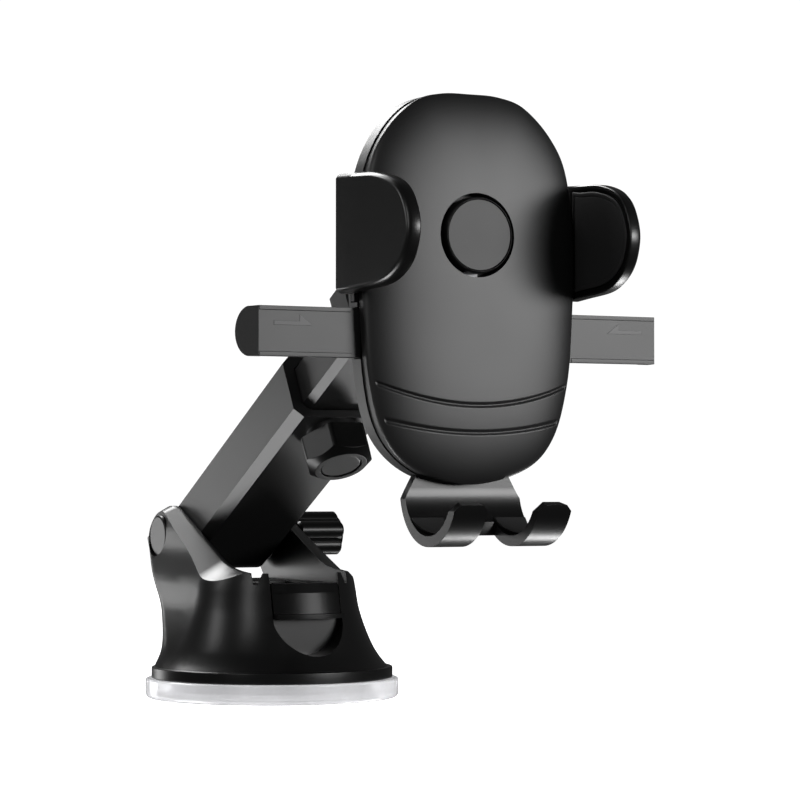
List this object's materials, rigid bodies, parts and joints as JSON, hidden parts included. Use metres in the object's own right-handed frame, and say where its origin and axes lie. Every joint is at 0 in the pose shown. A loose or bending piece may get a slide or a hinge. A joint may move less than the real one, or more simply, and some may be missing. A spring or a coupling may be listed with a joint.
{
  "type": "car phone mount",
  "caption": "Suction-cup car phone mount: lock lever base, folding telescopic arm, ball-jointed cradle with sprung gripping jaws, push wings, release button and a sliding foot.",
  "frame": {"origin": "centre of the gel pad's sticky face", "axes": "+Z away from the pad, -Y towards the user, +X the user's right"},
  "size_m": [0.1236, 0.1983, 0.1665],
  "materials": {
    "gel": "clear tacky gel, slightly milky",
    "base_satin": "fine-grained satin black moulding",
    "arm_satin": "semi-gloss black moulding",
    "case_satin": "satin black moulding with a soft sheen",
    "jaw_gloss": "glossy black moulding",
    "soft_rubber": "matt black rubber",
    "inner_nylon": "natural nylon",
    "zinc_steel": "zinc-plated steel",
    "brass_insert": "turned brass"
  },
  "bodies": {
    "base": {"gel_pad": "gel", "suction_cup": "soft_rubber", "stem_spring": "zinc_steel", "base_ring": "base_satin", "base_housing": "base_satin", "pivot_bolt": "zinc_steel", "ear_cap": "base_satin", "friction_washers": "inner_nylon"},
    "stem": {"suction_stem": "inner_nylon", "lever_pin": "zinc_steel"},
    "lever": {"lock_lever": "base_satin"},
    "side_knob": {"side_knob": "base_satin", "side_knob_insert": "brass_insert"},
    "outer_arm": {"outer_arm": "arm_satin", "clamp_nut": "zinc_steel", "pressure_pad": "soft_rubber"},
    "clamp_knob": {"clamp_knob": "arm_satin", "clamp_knob_disc": "case_satin", "clamp_screw": "zinc_steel"},
    "inner_arm": {"inner_arm": "arm_satin", "arm_head": "arm_satin", "ball_stud": "arm_satin"},
    "ball_liner": {"ball_liner": "inner_nylon"},
    "ball_nut": {"ball_nut": "arm_satin"},
    "cradle": {"back_housing": "case_satin", "mid_frame": "case_satin", "front_cover": "case_satin", "case_screws": "zinc_steel", "pinion_pin": "zinc_steel", "jaw_spring": "zinc_steel", "latch_pin": "zinc_steel"},
    "left_slider": {"left_wing_slider": "case_satin", "right_jaw": "jaw_gloss", "right_jaw_pad": "soft_rubber"},
    "right_slider": {"right_wing_slider": "case_satin", "left_jaw": "jaw_gloss", "left_jaw_pad": "soft_rubber"},
    "pinion": {"pinion": "inner_nylon"},
    "button": {"release_button": "case_satin", "button_spring": "zinc_steel"},
    "latch": {"latch": "inner_nylon"},
    "foot": {"foot": "jaw_gloss", "foot_pads": "soft_rubber"}
  },
  "joints": [
    {"name": "stem_lift", "type": "slide", "parent": "base", "child": "stem", "axis": [0, 0, -1], "range_m": [0, 0.002]},
    {"name": "lever_flip", "type": "hinge", "parent": "stem", "child": "lever", "pos_m": [0, 0, 0.026], "axis": [-1, 0, 0], "range_deg": [0, 70]},
    {"name": "side_knob_turn", "type": "hinge", "parent": "base", "child": "side_knob", "pos_m": [0.0226, 0.0369, 0.0476], "axis": [1, 0, 0], "continuous": true},
    {"name": "arm_pivot", "type": "hinge", "parent": "base", "child": "outer_arm", "pos_m": [0, 0.0369, 0.0476], "axis": [-1, 0, 0], "range_deg": [-10, 80]},
    {"name": "clamp_turn", "type": "hinge", "parent": "outer_arm", "child": "clamp_knob", "pos_m": [0, -0.04089, 0.07672], "axis": [0, -0.4886, -0.8725], "continuous": true},
    {"name": "telescope", "type": "slide", "parent": "outer_arm", "child": "inner_arm", "axis": [0, -0.8725, 0.4886], "range_m": [-0.022, 0.025]},
    {"name": "ball_tilt", "type": "hinge", "parent": "inner_arm", "child": "ball_liner", "pos_m": [0, -0.097, 0.117], "axis": [1, 0, 0], "range_deg": [-18, 18]},
    {"name": "ball_swivel", "type": "hinge", "parent": "ball_liner", "child": "ball_nut", "pos_m": [0, -0.097, 0.117], "axis": [0, 0, 1], "range_deg": [-20, 20]},
    {"name": "cradle_spin", "type": "hinge", "parent": "ball_nut", "child": "cradle", "pos_m": [0, -0.097, 0.117], "axis": [0, -1, 0], "continuous": true},
    {"name": "wing_squeeze", "type": "slide", "parent": "cradle", "child": "left_slider", "axis": [1, 0, 0], "range_m": [0, 0.018], "stiffness_N_per_m": 60, "springref_m": -0.02},
    {"name": "wing_follow", "type": "slide", "parent": "cradle", "child": "right_slider", "axis": [-1, 0, 0], "range_m": [0, 0.018]},
    {"name": "pinion_turn", "type": "hinge", "parent": "cradle", "child": "pinion", "pos_m": [0, -0.11565, 0.124], "axis": [0, 1, 0], "range_deg": [0, 172]},
    {"name": "button_press", "type": "slide", "parent": "cradle", "child": "button", "axis": [0, 1, 0], "range_m": [0, 0.0014], "stiffness_N_per_m": 500, "springref_m": -0.0006},
    {"name": "latch_rock", "type": "hinge", "parent": "cradle", "child": "latch", "pos_m": [0, -0.1204, 0.1146], "axis": [-1, 0, 0], "range_deg": [0, 12.5]},
    {"name": "foot_slide", "type": "slide", "parent": "cradle", "child": "foot", "axis": [0, 0, -1], "range_m": [0, 0.012]}
  ],
  "couplings": [
    {"joint": "lever_flip", "follows": "stem_lift", "rad_per_m": 610.85},
    {"joint": "wing_follow", "follows": "wing_squeeze", "ratio": 1},
    {"joint": "pinion_turn", "follows": "wing_squeeze", "rad_per_m": 166.67},
    {"joint": "latch_rock", "follows": "button_press", "rad_per_m": 150}
  ]
}
